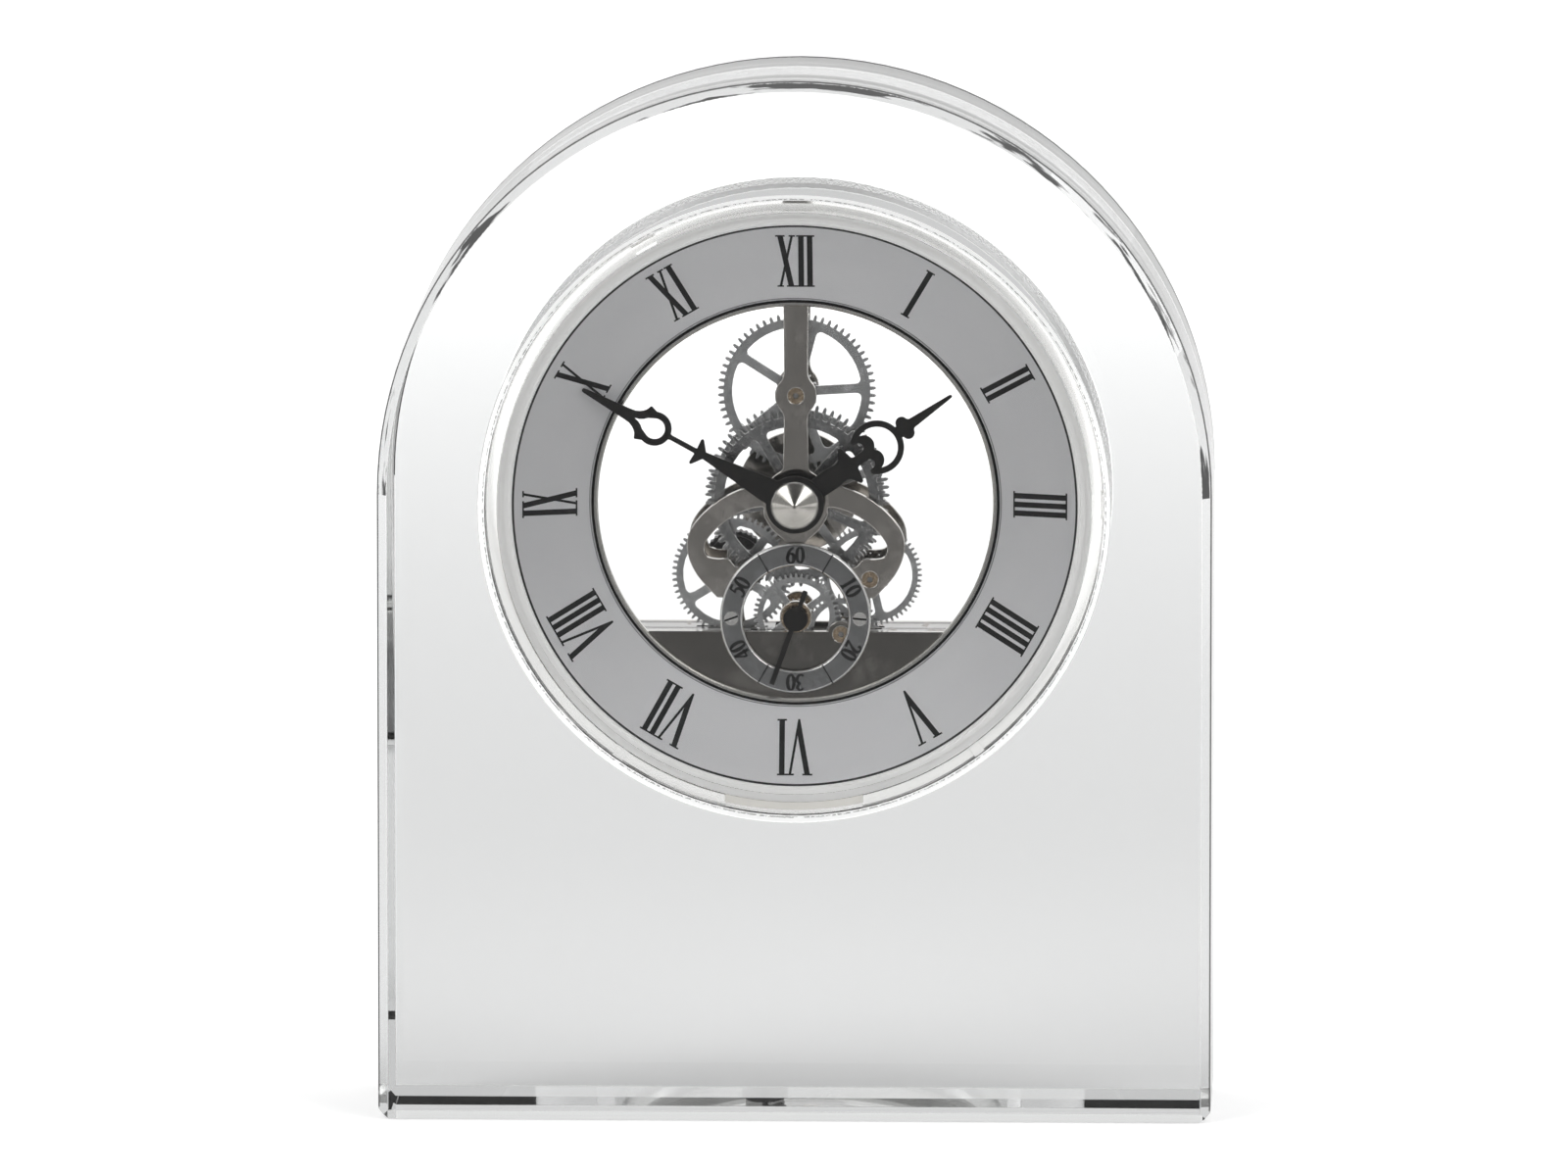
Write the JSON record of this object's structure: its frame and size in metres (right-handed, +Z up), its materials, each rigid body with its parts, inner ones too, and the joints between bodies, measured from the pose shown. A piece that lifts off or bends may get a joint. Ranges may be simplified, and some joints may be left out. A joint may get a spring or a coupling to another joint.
{
  "type": "crystal desk clock",
  "caption": "Arched crystal block with a round skeleton quartz movement in its bore, open gear train, sloping numeral ring, pierced black hands and a small seconds dial.",
  "frame": {"origin": "centre of the block's base on the surface it stands on", "axes": "+Z up, the dial faces -Y, +X to the right of a person who looks at the dial"},
  "size_m": [0.14, 0.04, 0.176],
  "materials": {
    "crystal": "polished optical crystal, bore and its chamfers ground",
    "lens_glass": "clear, polished",
    "clear_plastic": "clear moulding, frosted on its front rim",
    "bright_ring": "polished",
    "dial_metal": "brushed round the axis, with engraved black numerals",
    "plate_metal": "satin, nickel plated, polished edges",
    "box_metal": "polished, nickel plated",
    "wheel_metal": "nickel plated",
    "dark_wheel": "dark nickel plated",
    "arbor_steel": "turned bright",
    "bushing_brass": "turned",
    "hand_black": "black, semi-gloss",
    "ring_metal": "satin grey with bright bevels",
    "screw_steel": "polished head",
    "knob_plastic": "moulded, fluted edge",
    "ivory_plastic": "moulded",
    "cell_steel": "nickel plated",
    "contact_brass": "stamped leaf",
    "stator_iron": "stamped soft iron",
    "coil_copper": "wound enamelled wire",
    "rotor_magnet": "sintered magnet",
    "board_laminate": "green laminate"
  },
  "bodies": {
    "clock": {"crystal_block": "crystal", "case_tube": "clear_plastic", "front_lens": "lens_glass", "bezel_ring": "bright_ring", "dial_ring": "dial_metal", "dial_collar": "bright_ring", "front_plate": "plate_metal", "rear_plate": "plate_metal", "movement_box": "box_metal", "plate_pillars": "arbor_steel", "rear_screws": "screw_steel", "front_bushings": "bushing_brass", "rear_bushings": "bushing_brass", "seconds_ring": "ring_metal", "ring_screws": "screw_steel", "ring_spacers": "arbor_steel", "rear_cover": "clear_plastic", "button_cell": "cell_steel", "cell_holder": "ivory_plastic", "cell_contact": "contact_brass", "motor_base": "ivory_plastic", "stator": "stator_iron", "coil": "coil_copper", "circuit_board": "board_laminate", "quartz_can": "cell_steel"},
    "minute_train": {"minute_arbor": "arbor_steel", "centre_wheel": "wheel_metal", "cannon_pinion": "arbor_steel", "minute_hand": "hand_black", "cap_nut": "bright_ring"},
    "hour_train": {"hour_wheel": "dark_wheel", "hour_pipe": "arbor_steel", "hour_hand": "hand_black"},
    "motion_train": {"motion_wheel": "wheel_metal", "motion_arbor": "arbor_steel"},
    "third_train": {"third_wheel": "wheel_metal", "third_arbor": "arbor_steel"},
    "fourth_train": {"fourth_wheel": "wheel_metal", "fourth_arbor": "arbor_steel"},
    "idler_train": {"reversing_idler": "arbor_steel"},
    "seconds_train": {"seconds_wheel": "wheel_metal", "seconds_arbor": "arbor_steel", "seconds_hand": "hand_black"},
    "step_train": {"step_wheel": "ivory_plastic"},
    "rotor_train": {"rotor": "rotor_magnet"},
    "setting_train": {"setting_wheel": "wheel_metal", "setting_arbor": "arbor_steel", "setting_knob": "knob_plastic"},
    "hatch": {"battery_hatch": "clear_plastic"}
  },
  "joints": [
    {"name": "minute_turn", "type": "hinge", "parent": "clock", "child": "minute_train", "pos_m": [0, 0, 0.104], "axis": [0, 1, 0], "continuous": true},
    {"name": "hour_turn", "type": "hinge", "parent": "clock", "child": "hour_train", "pos_m": [0, 0, 0.104], "axis": [0, 1, 0], "continuous": true},
    {"name": "motion_turn", "type": "hinge", "parent": "clock", "child": "motion_train", "pos_m": [0, 0, 0.12182], "axis": [0, 1, 0], "continuous": true},
    {"name": "third_turn", "type": "hinge", "parent": "clock", "child": "third_train", "pos_m": [0.01245, 0, 0.09074], "axis": [0, 1, 0], "continuous": true},
    {"name": "fourth_turn", "type": "hinge", "parent": "clock", "child": "fourth_train", "pos_m": [0.0076, 0, 0.08143], "axis": [0, 1, 0], "continuous": true},
    {"name": "idler_turn", "type": "hinge", "parent": "clock", "child": "idler_train", "pos_m": [-0.00069, 0, 0.08001], "axis": [0, 1, 0], "continuous": true},
    {"name": "seconds_turn", "type": "hinge", "parent": "clock", "child": "seconds_train", "pos_m": [0, 0, 0.0843], "axis": [0, 1, 0], "continuous": true},
    {"name": "step_turn", "type": "hinge", "parent": "clock", "child": "step_train", "pos_m": [0.00225, 0, 0.0759], "axis": [0, 1, 0], "continuous": true},
    {"name": "rotor_turn", "type": "hinge", "parent": "clock", "child": "rotor_train", "pos_m": [-0.00251, 0, 0.0759], "axis": [0, 1, 0], "continuous": true},
    {"name": "setting_turn", "type": "hinge", "parent": "clock", "child": "setting_train", "pos_m": [-0.01088, 0, 0.0908], "axis": [0, 1, 0], "continuous": true},
    {"name": "hatch_turn", "type": "hinge", "parent": "clock", "child": "hatch", "pos_m": [-0.02, 0.0083, 0.072], "axis": [0, 1, 0], "range_deg": [0, 60]}
  ],
  "couplings": [
    {"joint": "hour_turn", "follows": "minute_turn", "ratio": 0.083333},
    {"joint": "motion_turn", "follows": "minute_turn", "ratio": -0.375},
    {"joint": "third_turn", "follows": "minute_turn", "ratio": -5},
    {"joint": "fourth_turn", "follows": "minute_turn", "ratio": 20},
    {"joint": "idler_turn", "follows": "minute_turn", "ratio": -52.5},
    {"joint": "seconds_turn", "follows": "minute_turn", "ratio": 60},
    {"joint": "step_turn", "follows": "minute_turn", "ratio": -240},
    {"joint": "rotor_turn", "follows": "minute_turn", "ratio": 1800},
    {"joint": "setting_turn", "follows": "minute_turn", "ratio": -7.7778}
  ]
}
